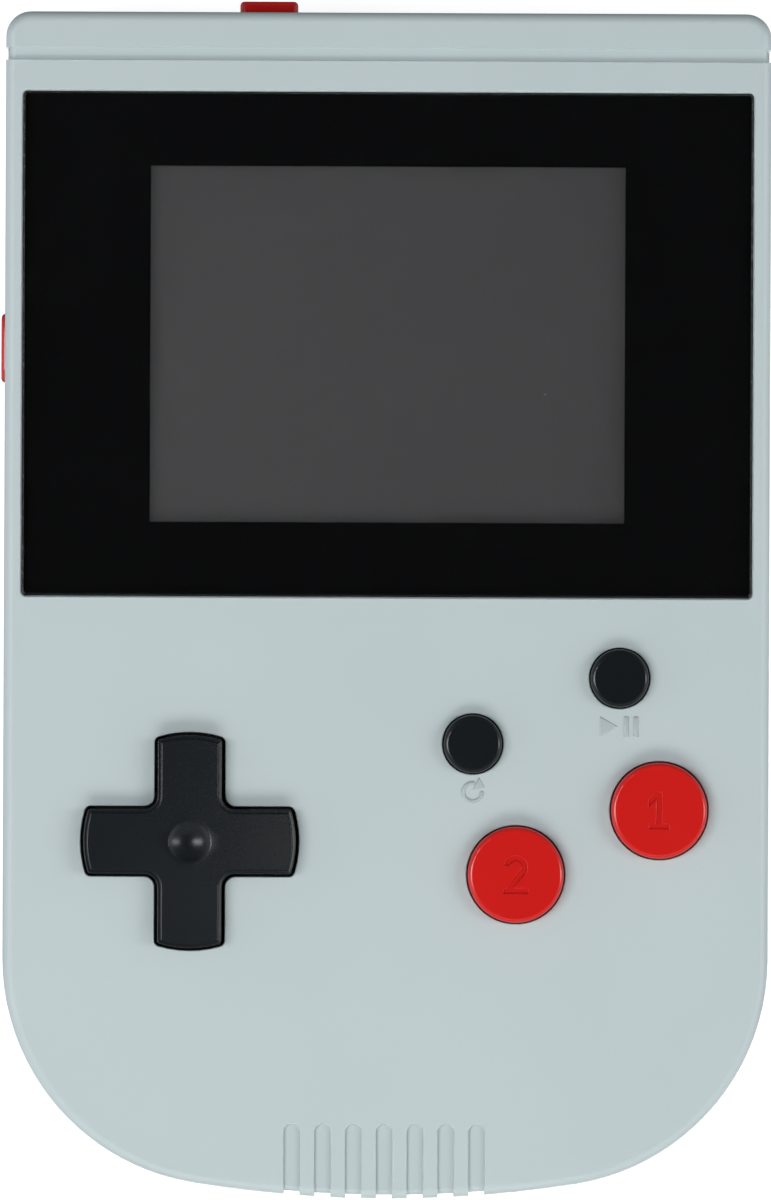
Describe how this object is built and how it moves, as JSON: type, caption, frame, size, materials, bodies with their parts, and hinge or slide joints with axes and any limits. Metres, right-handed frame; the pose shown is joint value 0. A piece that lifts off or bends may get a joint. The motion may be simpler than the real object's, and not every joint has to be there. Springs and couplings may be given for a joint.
{
  "type": "handheld game console",
  "caption": "Upright handheld game console with a display under a flush lens, a rocking cross pad, round push buttons, a slide power knob, a side button and a screwed battery door.",
  "frame": {"origin": "middle of the flat back of the case", "axes": "+X to the right and +Y to the top edge as the player sees it, +Z out of the screen"},
  "size_m": [0.0795, 0.1237, 0.0238],
  "materials": {
    "shell": "moulded, satin",
    "red_plastic": "moulded, semi-gloss",
    "black_plastic": "moulded, satin",
    "lens": "clear, polished",
    "black_print": "printed on the back of the lens",
    "foam": "soft foam and tape",
    "display": "dark grey panel, switched off",
    "backlight": "milky",
    "flex": "amber film",
    "board": "solder mask",
    "chip": "moulded",
    "capacitor": "sleeved can",
    "small_parts": "ceramic",
    "steel": "plated",
    "mat_rubber": "silicone",
    "paper": "pressed paper",
    "magnet": "ferrite",
    "red_wire": "insulation",
    "black_wire": "insulation",
    "cell_wrap": "wrapped can"
  },
  "bodies": {
    "case": {"front_shell": "shell", "rear_shell": "shell", "screen_lens": "lens", "lens_print": "black_print", "lens_tape": "foam", "display_gasket": "foam", "display_panel": "display", "backlight": "backlight", "display_flex": "flex", "circuit_board": "board", "processor_blob": "chip", "memory_chip": "chip", "capacitors": "capacitor", "crystal": "steel", "small_parts": "small_parts", "pad_mat": "mat_rubber", "fire_mat": "mat_rubber", "menu_mat": "mat_rubber", "pad_seat": "black_plastic", "power_switch": "steel", "volume_switch": "steel", "speaker_frame": "steel", "speaker_cone": "paper", "speaker_magnet": "magnet", "speaker_gasket": "foam", "speaker_wires": "red_wire", "cells": "cell_wrap", "contact_positive": "steel", "contact_negative": "steel", "contact_link_left": "steel", "contact_link_right": "steel", "contact_springs": "steel", "battery_wires": "black_wire", "board_screws": "steel", "case_screws": "steel"},
    "pad_pivot": {"pad_ball": "steel"},
    "pad": {"cross_pad": "black_plastic"},
    "fire_right": {"fire_button_right": "red_plastic"},
    "fire_left": {"fire_button_left": "red_plastic"},
    "menu_right": {"menu_button_right": "black_plastic"},
    "menu_left": {"menu_button_left": "black_plastic"},
    "power": {"power_knob": "red_plastic", "power_slider": "black_plastic"},
    "volume": {"volume_button": "red_plastic", "volume_plunger": "black_plastic"},
    "door": {"battery_door": "shell", "door_screws": "steel"}
  },
  "joints": [
    {"name": "pad_rock_up_down", "type": "hinge", "parent": "case", "child": "pad_pivot", "pos_m": [-0.0202, -0.0244, 0.0184], "axis": [1, 0, 0], "range_deg": [-3, 3], "stiffness_Nm_per_rad": 0.08, "deforming": ["pad_mat"]},
    {"name": "pad_rock_left_right", "type": "hinge", "parent": "pad_pivot", "child": "pad", "pos_m": [-0.0202, -0.0244, 0.0184], "axis": [0, 1, 0], "range_deg": [-3, 3], "stiffness_Nm_per_rad": 0.08, "deforming": ["pad_mat"]},
    {"name": "fire_right_press", "type": "slide", "parent": "case", "child": "fire_right", "axis": [0, 0, -1], "range_m": [0, 0.0012], "stiffness_N_per_m": 300, "springref_m": -0.0005, "deforming": ["fire_mat"]},
    {"name": "fire_left_press", "type": "slide", "parent": "case", "child": "fire_left", "axis": [0, 0, -1], "range_m": [0, 0.0012], "stiffness_N_per_m": 300, "springref_m": -0.0005, "deforming": ["fire_mat"]},
    {"name": "menu_right_press", "type": "slide", "parent": "case", "child": "menu_right", "axis": [0, 0, -1], "range_m": [0, 0.0009], "stiffness_N_per_m": 300, "springref_m": -0.0005, "deforming": ["menu_mat"]},
    {"name": "menu_left_press", "type": "slide", "parent": "case", "child": "menu_left", "axis": [0, 0, -1], "range_m": [0, 0.0009], "stiffness_N_per_m": 300, "springref_m": -0.0005, "deforming": ["menu_mat"]},
    {"name": "power_slide", "type": "slide", "parent": "case", "child": "power", "axis": [1, 0, 0], "range_m": [0, 0.002]},
    {"name": "volume_press", "type": "slide", "parent": "case", "child": "volume", "axis": [1, 0, 0], "range_m": [0, 0.00025], "stiffness_N_per_m": 800, "springref_m": -0.0002},
    {"name": "door_lift", "type": "slide", "parent": "case", "child": "door", "axis": [0, 0, -1], "range_m": [0, 0.02]}
  ]
}
